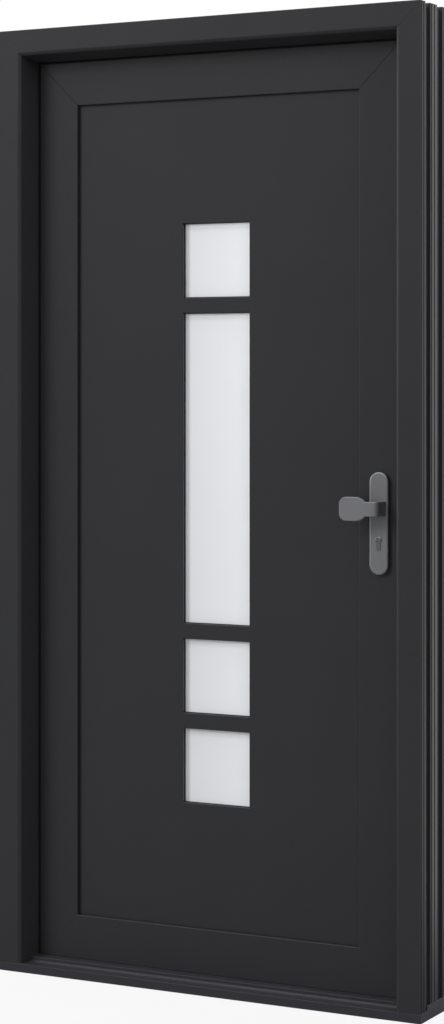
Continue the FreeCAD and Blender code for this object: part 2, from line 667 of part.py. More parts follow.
def bevel_front(body, width, outward, right):
    """Bevels the rim of a strap's front, all but the line where its bend begins on the right."""
    front = extent(body).YMin if outward else extent(body).YMax
    bevel(body, width, lambda one, two: (
        near(one.y, front) and near(two.y, front) and not (upright(one, two) and one.x > right)))


def make_pull():
    """The fixed outside pull: a cranked strap that widens to a rounded pad."""
    body = new_body("outside_pull")
    pad_right = f"({HANDLE_X} - Sizes.pad_start)"
    sketch = new_sketch(body, "XZ_Plane", f"-({PLATE_FACE} - Sizes.pull_reach)")
    half = "Sizes.pad_high / 2"
    draw_box(sketch, f"{pad_right} - Sizes.pad_length", f"Sizes.handle_height - {half}",
             pad_right, f"Sizes.handle_height + {half}")
    add_pad(body, sketch, "Sizes.strap_thick", turned=True)
    soften(body, "Sizes.pad_corner", inward)
    right = extent(body).XMax
    make_strap(body, f"({HANDLE_X} + Sizes.strap_root)", PLATE_FACE, f"({pad_right} - Sizes.pad_corner)",
               "strap", True)
    soften(body, "Sizes.pad_neck", lambda one, two: (
        inward(one, two) and one.x < right
        and near(abs(one.z - size("handle_height")), size("strap_high") / 2)))
    bevel_front(body, "Sizes.strap_bevel", True, right)


def make_lever():
    """The inside lever: a slimmer strap on a round collar, turned to the left over the leaf."""
    body = new_body("inside_lever")
    root = f"({HANDLE_X} + Sizes.lever_thick / 2)"
    make_strap(body, root, INSIDE_PLATE_FACE, f"({root} - Sizes.lever_length)", "lever", False)
    bevel_front(body, "Sizes.lever_bevel", False, extent(body).Center.x)
    sketch = new_sketch(body, "XZ_Plane", f"-{INSIDE_PLATE_FACE}")
    draw_circle(sketch, HANDLE_X, "Sizes.handle_height", "Sizes.collar_radius")
    add_pad(body, sketch, "Sizes.collar_thick", turned=True)


def make_lock():
    """The lock strip in the leaf's edge with its drawn-back bolts, and the keeps in the frame."""
    strip_x = f"({LEAF_RING[0]} - Sizes.lock_groove_deep)"
    groove_end = f"{LOCK_GROOVE} + Sizes.lock_groove_wide"
    strip = new_body("lock_strip")
    strip_low = f"({LEAF_BOTTOM} + Sizes.strip_low_end)"
    sketch = new_sketch(strip, "XY_Plane", strip_low)
    draw_box(sketch, strip_x, LOCK_GROOVE, f"{strip_x} + Sizes.strip_thick", groove_end)
    add_pad(strip, sketch, f"{LEAF_TOP} - Sizes.strip_top_end - {strip_low}")
    middle = f"({LOCK_GROOVE} + Sizes.lock_groove_wide / 2)"
    face = f"({strip_x} + Sizes.strip_thick)"
    half = "Sizes.latch_thick / 2"
    for label, height, centre in (("latch_bolt", "Sizes.latch_high", "Sizes.handle_height"),
                                  ("dead_bolt", "Sizes.bolt_high", CYLINDER_Z)):
        bolt = new_body(label)
        sketch = new_sketch(bolt, "XY_Plane", centre)
        draw_outline(sketch, [
            (face, f"{middle} - {half}"),
            (f"{face} + Sizes.latch_out", f"{middle} - {half}"),
            (f"{face} + Sizes.latch_out", f"{middle} - {half} + Sizes.latch_nose"),
            (face, f"{middle} + {half}"),
        ])
        add_pad(bolt, sketch, height, "Symmetric")

    plate_back = f"({HALF_WIDTH} - Sizes.rebate_floor + Sizes.keep_groove_deep)"
    keep_end = f"({KEEP_GROOVE} + Sizes.keep_groove_wide)"

    def make_keep(label, plates, many):
        body = new_body(label, many)
        for centre, height in plates:
            sketch = new_sketch(body, "XY_Plane", centre)
            draw_box(sketch, f"{plate_back} - Sizes.keep_groove_deep", KEEP_GROOVE,
                     plate_back, keep_end)
            add_pad(body, sketch, height, "Symmetric")
        for centre, height in plates:
            sketch = new_sketch(body, "XY_Plane", centre)
            draw_box(sketch, f"{plate_back} - Sizes.keep_groove_deep - Sizes.latch_out",
                     f"{KEEP_MIDDLE} - Sizes.keep_hole_wide / 2",
                     f"{plate_back} - Sizes.strip_thick",
                     f"{KEEP_MIDDLE} + Sizes.keep_hole_wide / 2")
            pocket = cut_depth(body, sketch, "Sizes.keep_hole_high", False)
            pocket.SideType = "Symmetric"

    make_keep("strike_plate", [(f"(Sizes.handle_height + {CYLINDER_Z}) / 2", "Sizes.strike_high")], False)
    make_keep("hook_keeps", [(f"{LEAF_BOTTOM} + Sizes.keep_low_end", "Sizes.keep_high"),
                             (f"{LEAF_TOP} - Sizes.keep_top_end", "Sizes.keep_high")], True)


def hinge_levels():
    """Centre height of each hinge from the bottom up."""
    low = "Sizes.hinge_low_up"
    high = "(Sizes.frame_height - Sizes.hinge_top_down)"
    return [("low", low), ("middle", f"(({low} + {high}) / 2)"), ("top", high)]


def make_hinges():
    """Three barrel hinges on the inside: a frame part with two knuckles and a leaf part with one."""
    for name, level in hinge_levels():
        low = f"({level} - Sizes.hinge_high / 2)"
        high = f"({level} + Sizes.hinge_high / 2)"
        knuckle = "((Sizes.hinge_high - Sizes.hinge_leaf_high) / 2 - Sizes.hinge_play)"

        body = new_body(f"hinge_frame_{name}")
        sketch = new_sketch(body, "XY_Plane", low)
        arm_right = f"(Sizes.leaf_edge - Sizes.flange_overlap - Sizes.hinge_arm_clear - {HALF_WIDTH})"
        arm_left = f"({arm_right} - Sizes.hinge_arm_wide)"
        draw_box(sketch, f"Sizes.hinge_plate_edge - {HALF_WIDTH}", "Sizes.frame_depth",
                 arm_right, "Sizes.frame_depth + Sizes.hinge_plate_thick")
        add_pad(body, sketch, "Sizes.hinge_high")
        for start in (low, f"({high} - {knuckle})"):
            sketch = new_sketch(body, "XY_Plane", start)
            draw_box(sketch, arm_left, "Sizes.frame_depth", arm_right, HINGE_Y)
            add_pad(body, sketch, knuckle)
            sketch = new_sketch(body, "XY_Plane", start)
            draw_circle(sketch, HINGE_X, HINGE_Y, "Sizes.hinge_radius")
            add_pad(body, sketch, knuckle)
        sketch = new_sketch(body, "XY_Plane")
        draw_circle(sketch, HINGE_X, HINGE_Y, "Sizes.pin_radius + Sizes.pin_play")
        cut_through(body, sketch)
        edge = extent(body).XMin
        soften(body, "Sizes.hinge_corner", lambda one, two: inward(one, two) and near(one.x, edge))

        body = new_body(f"hinge_leaf_{name}")
        sketch = new_sketch(body, "XY_Plane", low)
        plate_left = f"({HINGE_X} + Sizes.leaf_plate_clear)"
        draw_box(sketch, plate_left, LEAF_BACK, f"{plate_left} + Sizes.leaf_plate_wide",
                 f"{LEAF_BACK} + Sizes.hinge_plate_thick")
        add_pad(body, sketch, "Sizes.hinge_high")
        sketch = new_sketch(body, "XY_Plane", level)
        web = f"({HINGE_Y} - Sizes.hinge_radius)"
        draw_box(sketch, HINGE_X, web, f"{plate_left} + Sizes.hinge_plate_thick",
                 f"{web} + Sizes.hinge_plate_thick")
        add_pad(body, sketch, "Sizes.hinge_leaf_high", "Symmetric")
        sketch = new_sketch(body, "XY_Plane", level)
        draw_circle(sketch, HINGE_X, HINGE_Y, "Sizes.hinge_radius")
        add_pad(body, sketch, "Sizes.hinge_leaf_high", "Symmetric")
        sketch = new_sketch(body, "XY_Plane")
        draw_circle(sketch, HINGE_X, HINGE_Y, "Sizes.pin_radius + Sizes.pin_play")
        cut_through(body, sketch)
        edge = extent(body).XMax
        soften(body, "Sizes.hinge_corner", lambda one, two: inward(one, two) and near(one.x, edge))

    pins = new_body("hinge_pins", many=True)
    for name, level in hinge_levels():
        low = f"({level} - Sizes.hinge_high / 2)"
        sketch = new_sketch(pins, "XY_Plane", low)
        draw_circle(sketch, HINGE_X, HINGE_Y, "Sizes.pin_radius")
        add_pad(pins, sketch, "Sizes.hinge_high")
        for start in (f"{low} - Sizes.pin_head_thick", f"{low} + Sizes.hinge_high"):
            sketch = new_sketch(pins, "XY_Plane", start)
            draw_circle(sketch, HINGE_X, HINGE_Y, "Sizes.pin_head")
            add_pad(pins, sketch, "Sizes.pin_head_thick")


make_frame()
make_threshold()
make_seals()
make_leaf()
make_panel()
make_glazing()
make_beads()
make_backplate("outside_backplate", PLATE_FACE, False)
make_backplate("inside_backplate", LEAF_BACK, True)
make_cylinder()
make_pull()
make_lever()
make_lock()
make_hinges()

document.recompute()
faults = [item.Label for item in document.Objects if {"Invalid", "Error"} & set(item.State)]
for piece in pieces:
    if piece.Shape.isNull() or not piece.Shape.isValid() or not piece.Shape.Solids:
        faults.append(piece.Label + " has no valid solid")
if faults:
    sys.exit("faults: " + ", ".join(faults))

os.makedirs("parts", exist_ok=True)
for piece in pieces:
    piece.Shape.exportStep(f"parts/{piece.Label}.step")
print(len(pieces), "pieces")
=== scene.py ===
import math

import bmesh
import bpy
import numpy as np
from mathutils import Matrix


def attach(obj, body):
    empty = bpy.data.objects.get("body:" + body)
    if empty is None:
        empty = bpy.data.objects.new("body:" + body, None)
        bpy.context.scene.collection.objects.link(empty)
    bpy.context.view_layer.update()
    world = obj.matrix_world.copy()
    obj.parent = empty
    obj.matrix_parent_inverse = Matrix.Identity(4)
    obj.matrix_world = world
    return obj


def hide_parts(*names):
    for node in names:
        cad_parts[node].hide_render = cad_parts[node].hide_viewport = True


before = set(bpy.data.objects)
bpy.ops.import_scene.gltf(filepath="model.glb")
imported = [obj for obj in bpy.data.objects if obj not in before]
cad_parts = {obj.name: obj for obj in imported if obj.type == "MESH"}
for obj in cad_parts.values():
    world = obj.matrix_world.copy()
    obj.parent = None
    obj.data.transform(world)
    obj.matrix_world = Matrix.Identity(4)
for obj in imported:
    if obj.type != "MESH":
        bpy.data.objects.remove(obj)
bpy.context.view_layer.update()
scene = bpy.context.scene

# The studio: a pale floor, white all round the object, and soft light from high on the left.
# The camera stands to the right of the door at chest height, and looks level.


def linear(code):
    """A colour written as sRGB hex, turned to linear light."""
    part = np.array([int(code[n:n + 2], 16) for n in (1, 3, 5)]) / 255
    light = np.where(part <= 0.04045, part / 12.92, ((part + 0.055) / 1.055) ** 2.4)
    return (*light.tolist(), 1.0)


def node(tree, kind, settings=None, **links):
    """Adds a node. Settings are its properties or input values, links its inputs from other outputs."""
    made = tree.nodes.new(kind)
    for key, setting in (settings or {}).items():
        if isinstance(key, str) and hasattr(made, key):
            setattr(made, key, setting)
        else:
            made.inputs[key].default_value = setting
    for key, source in links.items():
        place = int(key[1:]) if key[0] == "n" and key[1:].isdigit() else key.replace("_", " ")
        tree.links.new(source, made.inputs[place])
    return made


def ramp(tree, value, start, end, low=0.0, high=1.0):
    """A value carried evenly from one range to another, and held beyond both ends."""
    return node(tree, "ShaderNodeMapRange",
                {"From Min": start, "From Max": end, "To Min": low, "To Max": high}, Value=value).outputs[0]


scene.view_settings.view_transform = "Standard"
camera = bpy.data.objects.new("camera", bpy.data.cameras.new("camera"))
scene.collection.objects.link(camera)
camera.location = (2.6656, -5.0034, 1.3806)
camera.rotation_euler = (math.pi / 2, 0, math.radians(27.86))
camera.data.sensor_fit = "VERTICAL"
camera.data.sensor_height = 36
camera.data.lens = 88.25
camera.data.shift_x = -0.00024
camera.data.shift_y = -0.1306
camera.data.clip_end = 100
scene.camera = camera

world = bpy.data.worlds.new("white_studio")
world.use_nodes = True
scene.world = world
sky = world.node_tree
sky.nodes.clear()
ray = node(sky, "ShaderNodeLightPath")
seen = node(sky, "ShaderNodeMath", {"operation": "MAXIMUM"}, n0=ray.outputs["Is Glossy Ray"],
            n1=ray.outputs["Is Transmission Ray"])
where = node(sky, "ShaderNodeTexCoord")
split = node(sky, "ShaderNodeSeparateXYZ", n0=where.outputs["Generated"])
# What gloss mirrors: dim in front, darker to the front right, bright behind, above and at the far left, a
# strong strip of light behind on the right, and all of it weaker towards the ground
total = ramp(sky, split.outputs["X"], -0.35, 0.85, 0.25, 0.03)
for axis, low, high, level in (("Y", 0.0, 0.6, 0.7), ("Z", 0.1, 0.6, 0.7), ("Z", 0.5, 0.95, 1.6),
                               ("X", -0.82, -0.96, 2.4)):
    side = ramp(sky, split.outputs[axis], low, high, 0.0, level)
    total = node(sky, "ShaderNodeMath", {"operation": "ADD"}, n0=total, n1=side).outputs[0]
total = node(sky, "ShaderNodeMath", {"operation": "MULTIPLY_ADD"},
             n0=ramp(sky, split.outputs["X"], 0.68, 0.85, 0.0, 3.0),
             n1=ramp(sky, split.outputs["Y"], 0.0, 0.3), n2=total).outputs[0]
total = node(sky, "ShaderNodeMath", {"operation": "MULTIPLY"}, n0=total,
             n1=ramp(sky, split.outputs["Z"], -0.2, 0.08, 0.5, 1.06)).outputs[0]
# Everything else is lit by a dim, faintly blue sky, and the camera sees pure white
plain = node(sky, "ShaderNodeBackground", {"Color": linear("#eef1f5"), "Strength": 0.38})
mirrored = node(sky, "ShaderNodeBackground", {"Color": linear("#ffffff")}, Strength=total)
white = node(sky, "ShaderNodeBackground", {"Color": linear("#ffffff"), "Strength": 1.0})
first = node(sky, "ShaderNodeMixShader", n0=seen.outputs[0], n1=plain.outputs[0], n2=mirrored.outputs[0])
second = node(sky, "ShaderNodeMixShader", n0=ray.outputs["Is Camera Ray"], n1=first.outputs[0],
              n2=white.outputs[0])
node(sky, "ShaderNodeOutputWorld", n0=second.outputs[0])

# A large window to the front left, a small fill to the right, and one more that lights the inside
for lamp_name, spot, aim, wide, watts in (
    ("window_light", (-3.2, -4.2, 4.2), (0, 0, 1.2), 2.6, 235),
    ("right_fill", (4.2, -1.0, 3.2), (0, 0, 1.3), 1.6, 55),
    ("inside_fill", (1.6, 4.2, 3.0), (0, 0, 1.1), 2.2, 120),
):
    lamp = bpy.data.objects.new(lamp_name, bpy.data.lights.new(lamp_name, "AREA"))
    lamp.data.shape = "DISK"
    lamp.data.size = wide
    lamp.data.energy = watts
    lamp.location = spot
    gaze = np.array(aim) - np.array(spot)
    lamp.rotation_euler = (math.atan2(math.hypot(gaze[0], gaze[1]), -gaze[2]), 0,
                           math.atan2(-gaze[0], gaze[1]))
    lamp.visible_glossy = False
    scene.collection.objects.link(lamp)


def blank(name):
    """A new material with an empty tree, its Principled surface and its output."""
    made = bpy.data.materials.new(name)
    made.use_nodes = True
    tree = made.node_tree
    tree.nodes.clear()
    surface = node(tree, "ShaderNodeBsdfPrincipled")
    node(tree, "ShaderNodeOutputMaterial", n0=surface.outputs[0])
    return made, tree, surface


floor_paper, tree, surface = blank("floor_paper")
# Matte white paper that takes a soft shadow near the door and fades to pure white away from it
surface.inputs["Roughness"].default_value = 0.9
glow = node(tree, "ShaderNodeEmission", {"Color": linear("#ffffff"), "Strength": 1.0})
# The paper looks pale, but what it throws back is greyer, and gloss mirrors it darker still
ray = node(tree, "ShaderNodeLightPath")
paper = node(tree, "ShaderNodeMix", {"data_type": "RGBA", 6: linear("#d0d0d0"), 7: linear("#f4f4f3")},
             n0=ray.outputs["Is Camera Ray"])
dim = node(tree, "ShaderNodeMix", {"data_type": "RGBA", 7: linear("#6c6c6c")}, n6=paper.outputs[2],
           n0=ray.outputs["Is Glossy Ray"])
tree.links.new(dim.outputs[2], surface.inputs["Base Color"])
spot = node(tree, "ShaderNodeTexCoord")
far = node(tree, "ShaderNodeVectorMath", {"operation": "LENGTH"}, n0=spot.outputs["Object"])
fade = ramp(tree, far.outputs["Value"], 0.6, 1.8, 0.84, 1.0)
# Gloss sees the floor white only behind the door
split = node(tree, "ShaderNodeSeparateXYZ", n0=spot.outputs["Object"])
back = ramp(tree, split.outputs["Y"], 0.3, 1.2)
seen = node(tree, "ShaderNodeMath", {"operation": "MAXIMUM"}, n0=ray.outputs["Is Glossy Ray"],
            n1=ray.outputs["Is Transmission Ray"])
mirrored = node(tree, "ShaderNodeMath", {"operation": "MULTIPLY_ADD"}, n0=back, n1=seen.outputs[0],
                n2=ray.outputs["Is Camera Ray"])
share = node(tree, "ShaderNodeMath", {"operation": "MULTIPLY"}, n0=fade, n1=mirrored.outputs[0])
mix = node(tree, "ShaderNodeMixShader", n0=share.outputs[0], n1=surface.outputs[0], n2=glow.outputs[0])
tree.links.new(mix.outputs[0], [n for n in tree.nodes if n.type == "OUTPUT_MATERIAL"][0].inputs[0])
floor_mesh = bpy.data.meshes.new("floor")
floor_mesh.from_pydata([(x, y, -0.001) for x, y in ((-30, -30), (30, -30), (30, 30), (-30, 30))], [],
                       [(0, 1, 2, 3)])
floor_mesh.materials.append(floor_paper)
floor = bpy.data.objects.new("floor", floor_mesh)
scene.collection.objects.link(floor)


# The outer frame: two jambs and a head of extruded hollow PVC, cut at 45 degrees and welded.
# A foil with a fine embossed grain is pressed on at the factory. The weld is trimmed to a thin groove.

FRONT = 65                        # Outlines of profiles count their depth from Y = -65 mm, the frame's front
FRAME_RING = (535, 0, 2190)       # Half width, foot and top of a ring of profiles
WELD_RUN, WELD_SINK = 0.6, 0.35   # Length and depth of the groove on each side of a weld
SHELF, STEP = 20.0, 31.5          # Heights of the threshold's front shelf and of its raised back
STEP_DEPTH = 35.5                 # How deep in the frame the raised back begins


def noise(tree, scale, detail, roughness=0.5):
    """Noise in object coordinates, of so many lumps to the metre."""
    place = node(tree, "ShaderNodeTexCoord")
    return node(tree, "ShaderNodeTexNoise", {"Scale": scale, "Detail": detail, "Roughness": roughness},
                Vector=place.outputs["Object"]).outputs[0]


def tinted(tree, surface, share, start, end):
    """Colours a surface between two hex colours by a value from 0 to 1."""
    tone = node(tree, "ShaderNodeMix", {"data_type": "RGBA", 6: linear(start), 7: linear(end)}, n0=share)
    tree.links.new(tone.outputs[2], surface.inputs["Base Color"])


def worn(tree, surface, share, smooth, rough, strength=0.0, height=0.0):
    """Varies a surface's roughness by a value from 0 to 1, and presses that value in as a relief."""
    tree.links.new(ramp(tree, share, 0.0, 1.0, smooth, rough), surface.inputs["Roughness"])
    if strength:
        press = node(tree, "ShaderNodeBump", {"Strength": strength, "Distance": height}, Height=share)
        tree.links.new(press.outputs[0], surface.inputs["Normal"])


foil, tree, surface = blank("anthracite_pvc_foil")
# Film over PVC: satin, so it mirrors softly, with a grain that breaks up the gloss seen close by
tinted(tree, surface, noise(tree, 6.0, 2.0), "#2b2b2d", "#2f2f31")
worn(tree, surface, noise(tree, 900.0, 3.0, 0.6), 0.34, 0.48, 0.12, 0.0003)


def soft(corners, steps=4):
    """An outline of corners (reach, depth, radius), each corner a curve that leaves and meets its sides.

    The curve is (1-t)^2 start + 2t(1-t) corner + t^2 end, where start and end lie one radius away.
    """
    table = np.array(corners, float)
    spot, size = table[:, :2], table[:, 2:3]
    back, on = np.roll(spot, 1, 0) - spot, np.roll(spot, -1, 0) - spot
    far = np.linalg.norm(back, axis=1, keepdims=True), np.linalg.norm(on, axis=1, keepdims=True)
    start = spot + back / far[0] * np.minimum(size, far[0] * 0.45)
    end = spot + on / far[1] * np.minimum(size, far[1] * 0.45)
    t = np.linspace(0, 1, steps + 1)[None, :, None]
    path = (1 - t) ** 2 * start[:, None] + 2 * t * (1 - t) * spot[:, None] + t ** 2 * end[:, None]
    path = path.reshape(-1, 2)
    return path[np.linalg.norm(path - np.roll(path, 1, 0), axis=1) > 1e-4]


def shrunk(outline, inset):
    """The outline moved inwards by an inset: each point goes against the mean of its sides' normals."""
    on, back = np.roll(outline, -1, 0) - outline, outline - np.roll(outline, 1, 0)
    unit = sum(side / np.linalg.norm(side, axis=1, keepdims=True) for side in (on, back))
    unit /= np.linalg.norm(unit, axis=1, keepdims=True)
    area = np.sum(outline[:, 0] * np.roll(outline[:, 1], -1) - outline[:, 1] * np.roll(outline[:, 0], -1))
    return outline + np.sign(area) * inset * np.stack([-unit[:, 1], unit[:, 0]], 1)


def piece(name, points, faces, surface, body, slot, stands_for=None):
    """Puts points (in millimetres) and faces into an object that rides on a body."""
    mesh = bpy.data.meshes.new(name)
    mesh.from_pydata((np.asarray(points).reshape(-1, 3) / 1000).tolist(), [], faces)
    shell = bmesh.new()
    shell.from_mesh(mesh)
    bmesh.ops.remove_doubles(shell, verts=shell.verts, dist=2e-6)
    bmesh.ops.recalc_face_normals(shell, faces=shell.faces)
    shell.to_mesh(mesh)
    shell.free()
    mesh.materials.append(surface)
    made = bpy.data.objects.new(name, mesh)
    scene.collection.objects.link(made)
    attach(made, body)
    if stands_for:
        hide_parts(*stands_for)
    return made


def strips(rows, columns, closed_rows=False):
    """The four-sided faces of a grid of points whose columns run round, numbered row by row."""
    row = np.arange(rows if closed_rows else rows - 1)[:, None]
    column = np.arange(columns)[None, :]
    across = (column + 1) % columns
    up = (row + 1) % rows
    grid = np.stack([row * columns + column, row * columns + across, up * columns + across,
                     up * columns + column], -1)
    return grid.reshape(-1, 4).tolist()


def bar(outline, ring, side, foot=None, slit=0.0):
    """One side of a mitred ring. Each point of the outline runs from mitre to mitre, or from a foot.

    At a mitre the last of the profile sinks into the weld's groove, and ends half a slit short of it.
    A foot gives for each point the height where it ends, and whether it stands on the raised part.
    """
    half, low, high = ring
    tight = shrunk(outline, WELD_SINK)
    layers = [tight, outline, outline, tight]
    near, far = tight[:, 0] + slit, outline[:, 0] + WELD_RUN
    if side in ("left", "right"):
        ends = [low + near, low + far, high - far, high - near]
    else:
        ends = [near - half, far - half, half - far, half - near]
    if foot:
        standing, raised = foot(outline)
        layers, ends = layers[1:], [standing] + ends[2:]
    layer, along = np.stack(layers), np.stack(ends)
    sign = -1 if side == "left" else 1
    if side in ("left", "right"):
        points = np.stack([sign * (half - layer[..., 0]), layer[..., 1] - FRONT, along], -1)
    else:
        level = high - layer[..., 0] if side == "top" else low + layer[..., 0]
        points = np.stack([along, layer[..., 1] - FRONT, level], -1)
    count = len(outline)
    faces = strips(len(layers), count)
    faces.append(list(range((len(layers) - 1) * count, len(layers) * count)))
    if foot:
        step = int(np.flatnonzero(raised & ~np.roll(raised, 1))[0])
        order = np.roll(np.arange(count), -step).tolist()
        high_part = int(raised.sum())
        faces += [order[:high_part], order[high_part:],
                  [order[0], order[high_part - 1], order[high_part], order[-1]]]
    else:
        faces.append(list(range(count)))
    return points, faces


def joined(shells):
    """Several shells of points and faces as one."""
    points, faces = [], []
    for spots, sides in shells:
        faces += [[index + len(points) for index in side] for side in sides]
        points += np.asarray(spots).reshape(-1, 3).tolist()
    return points, faces


def bored(made, cuts):
    """Drills a piece. Each cut is a closed shell of points and faces, in millimetres."""
    mesh = bpy.data.meshes.new("drill")
    points, faces = joined(cuts)
    mesh.from_pydata((np.array(points) / 1000).tolist(), [], faces)
    shell = bmesh.new()
    shell.from_mesh(mesh)
    bmesh.ops.recalc_face_normals(shell, faces=shell.faces)
    shell.to_mesh(mesh)
    shell.free()
    drill = bpy.data.objects.new("drill", mesh)
    scene.collection.objects.link(drill)
    cut = made.modifiers.new("drilled", "BOOLEAN")
    cut.operation = "DIFFERENCE"
    cut.solver = "EXACT"
    cut.object = drill
    ready = bpy.data.meshes.new_from_object(made.evaluated_get(bpy.context.evaluated_depsgraph_get()))
    made.modifiers.remove(cut)
    made.data = ready
    bpy.data.objects.remove(drill)


def rod(centre, axis, radius, length, steps=32):
    """A closed round rod: circles of a radius at both ends, the centre being the middle of its length."""
    turn = np.linspace(0, 2 * np.pi, steps, endpoint=False)
    ring = np.stack([np.cos(turn), np.sin(turn)], 1) * radius
    points = np.zeros((2, steps, 3))
    others = [n for n in range(3) if n != axis]
    points[:, :, others] = ring[None]
    points[0, :, axis], points[1, :, axis] = -length / 2, length / 2
    faces = strips(2, steps) + [list(range(steps)), list(range(steps, 2 * steps))]
    return points + np.array(centre), faces


def stand(outline):
    """The foot of a jamb: on the threshold's raised back behind its step, and on its shelf in front."""
    raised = outline[:, 1] > STEP_DEPTH
    return np.where(raised, STEP, SHELF), raised


# The outer side's grooves from back to front, each (start, width, depth), with sloped sides.
# The groove that the threshold's step crosses has two points more, where the jamb's foot steps.
rib_edges = []
for start, wide, deep in ((124, 4, 3), (90, 29, 7.5), (73, 4.5, 3.5), (57, 5, 4), (26, 27, 7.5),
                          (14, 6, 4), (3, 6, 4)):
    rib_edges += [(0, start + wide, 1.1), (deep, start + wide - 0.8, 0.4)]
    if start < STEP_DEPTH < start + wide:
        rib_edges += [(deep, STEP_DEPTH + 0.01, 0), (deep, STEP_DEPTH - 0.01, 0)]
    rib_edges += [(deep, start + 0.8, 0.4), (0, start, 1.1)]
frame_outline = soft([
    (0, 0, 2.0), (53, 0, 1.6), (59, 5, 1.2), (65.47, STEP_DEPTH - 0.01, 0), (65.48, STEP_DEPTH + 0.01, 0),
    (71, 61.5, 1.2), (50, 61.5, 0.5), (50, 92, 0.6), (45, 92, 0.3), (45, 112, 0.3), (50, 112, 0.6),
    (50, 130, 1), (0, 130, 0.6),
] + rib_edges)
piece("frame_head_profile", *bar(frame_outline, FRAME_RING, "top"), foil, "frame", "pvc_profile",
      ["frame_head"])
for side, sign in (("left", -1), ("right", 1)):
    jamb = piece(f"frame_jamb_{side}_profile", *bar(frame_outline, FRAME_RING, side, stand), foil, "frame",
                 "pvc_profile", [f"frame_jamb_{side}"])
    bored(jamb, [rod((sign * 509, 37, level), 0, 5.2, 70) for level in (200, 780, 1360, 1940)])


# The threshold: one aluminium extrusion, powder coated to match, that runs under both jambs.
# A low front shelf drains to the outside, and its raised back carries the seal under the leaf.

powder, tree, surface = blank("powder_coated_aluminium")
# Sprayed and baked polyester powder: a shallow orange peel that softens the mirrored light
surface.inputs["Base Color"].default_value = linear("#35353a")
worn(tree, surface, noise(tree, 420.0, 2.0), 0.3, 0.42, 0.18, 0.0004)


def slab(outline, axis, low, high, edge, steps=3, rim=None):
    """An outline carried along an axis, with a quarter round of a radius, or a given rim, at both ends.

    At angle a the outline is shrunk by edge (1 - sin a) and lies edge (1 - cos a) from the end.
    A rim lists such pairs of inset and distance itself.
    """
    turn = np.linspace(0, np.pi / 2, steps + 1)
    inset, off = edge * (1 - np.sin(turn)), edge * (1 - np.cos(turn))
    if rim:
        inset, off = np.array(rim, float).T
    layers = [shrunk(outline, size) for size in inset]
    layer = np.stack(layers + layers[::-1])
    along = np.concatenate([low + off, (high - off)[::-1]])
    points = np.zeros((*layer.shape[:2], 3))
    points[..., [n for n in range(3) if n != axis]] = layer
    points[..., axis] = along[:, None]
    count = len(outline)
    faces = strips(len(along), count)
    faces += [list(range(count)), list(range((len(along) - 1) * count, len(along) * count))]
    return points, faces


def prism(outline, axis, low, high):
    """An outline carried along an axis, with square ends: the shape of a drill."""
    return slab(outline, axis, low, high, 0.01, 1)


sill_outline = soft([
    (-65, 0, 0.6), (65, 0, 0.6), (65, STEP, 0.8), (-29.5, STEP, 1.2), (-29.5, 23.4, 0.5), (-31.6, 22.8, 0.7),
    (-32.6, SHELF, 0.6), (-65, SHELF, 1.2),
])
piece("threshold_sill", *slab(sill_outline, 0, -535, 535, 0.5), powder, "frame", "threshold_aluminium",
      ["threshold"])


# The seals: black rubber (EPDM), extruded and pushed into grooves, with soft lips that press on the leaf,
# the frame and the panel. They show as the dark lines round the leaf and the panel.

rubber, tree, surface = blank("epdm_rubber")
# Rubber straight from the die: dull, almost no mirrored light, faintly dusty
surface.inputs["Base Color"].default_value = linear("#0d0d0e")
surface.inputs["Specular IOR Level"].default_value = 0.25
worn(tree, surface, noise(tree, 160.0, 4.0), 0.6, 0.85)


def arch(outline, ring, foot):
    """An outline of (reach, depth) carried up the left side, along the top and down the right side."""
    half, high = ring[0] - outline[:, 0], ring[2] - outline[:, 0]
    deep, low = outline[:, 1] - FRONT, np.full(len(outline), float(foot))
    points = np.stack([np.stack(row, 1) for row in (
        (-half, deep, low), (-half, deep, high), (half, deep, high), (half, deep, low))])
    count = len(outline)
    return points, strips(4, count) + [list(range(count)), list(range(3 * count, 4 * count))]


def around(outline, half, low, high):
    """An outline of (growth, depth) carried round a rectangle, mitred at its four corners."""
    grow, deep = outline[:, 0], outline[:, 1] - FRONT
    points = np.stack([np.stack([x * (half + grow), deep, z], 1) for x, z in (
        (-1, low - grow), (1, low - grow), (1, high + grow), (-1, high + grow))])
    return points, strips(4, len(outline), closed_rows=True)


LEAF_RING = (472.5, 20.5, 2127.5)
SEAT_RING = (380.5, 112.5, 2035.5)    # The seat of the panel inside the leaf
LEAF_FOOT = 36.5                      # Where the leaf is cut off level, above the threshold
stop_seal = soft([(64, 61.5, 0.2), (75, 61.5, 0.8), (75, 64.7, 1.4), (71, 64, 0.8), (68, 64.7, 0.8),
                  (64, 64.7, 0.3)])
piece("frame_gasket_lip", *arch(stop_seal, FRAME_RING, STEP), rubber, "frame", "seal_rubber",
      ["frame_gasket"])
flange_seal = soft([(-18, 130.3, 0.8), (-13, 130.3, 0.8), (-13, 133, 0.2), (-18, 133, 0.2)])
piece("leaf_gasket_lip", *arch(flange_seal, LEAF_RING, LEAF_FOOT), rubber, "leaf", "seal_rubber",
      ["leaf_gasket"])
for name, near, far in (("outside", 71, 74), ("inside", 118, 121)):
    wedge = soft([(-2, near, 0.2), (-2, far, 0.2), (-19.5, far, 0.9), (-19.5, near, 0.9)])
    piece(f"panel_gasket_{name}_lip", *around(wedge, *SEAT_RING), rubber, "leaf", "seal_rubber",
          [f"panel_gasket_{name}"])
rain_lip = soft([(0, 36.6, 0.1), (0, 32.1, 0.5), (1.4, 32.1, 0.5), (2.4, 36.6, 0.1)])
piece("leaf_rain_lip", *slab(rain_lip, 0, -466, 466, 0.2, 1), foil, "leaf", "pvc_profile")
